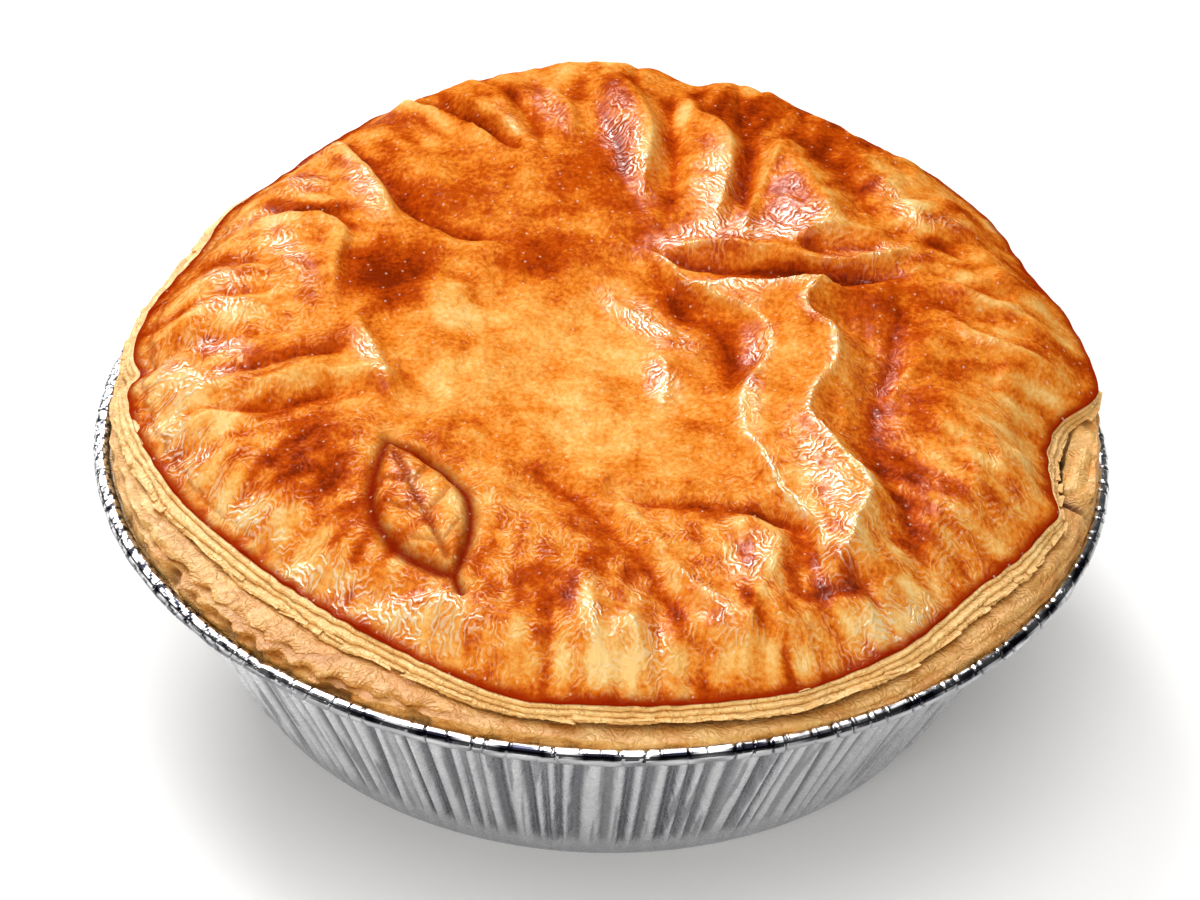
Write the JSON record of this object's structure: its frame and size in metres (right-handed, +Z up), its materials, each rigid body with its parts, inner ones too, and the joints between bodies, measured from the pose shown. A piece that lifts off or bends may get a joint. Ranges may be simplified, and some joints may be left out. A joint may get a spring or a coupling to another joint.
{
  "type": "lamb pie",
  "caption": "Round meat pie with a folded, glazed puff-pastry lid, a pale flaky edge and a pressed leaf, baked in a tapered fluted foil dish with a rolled rim.",
  "frame": {"origin": "centre of the dish's flat underside", "axes": "+Z up through the lid, -Y towards the picture's viewer, +X to the viewer's right"},
  "size_m": [0.1198, 0.1203, 0.052],
  "materials": {
    "foil": "thin pressed foil, satin wall and bright rolled rim",
    "crust": "pale dry shortcrust with flaky layers",
    "lid": "glazed golden brown puff pastry, darker on the edge and in the folds"
  },
  "bodies": {
    "root": {"foil_dish": "foil", "pastry_case": "crust", "pastry_lid": "lid"}
  },
  "joints": []
}
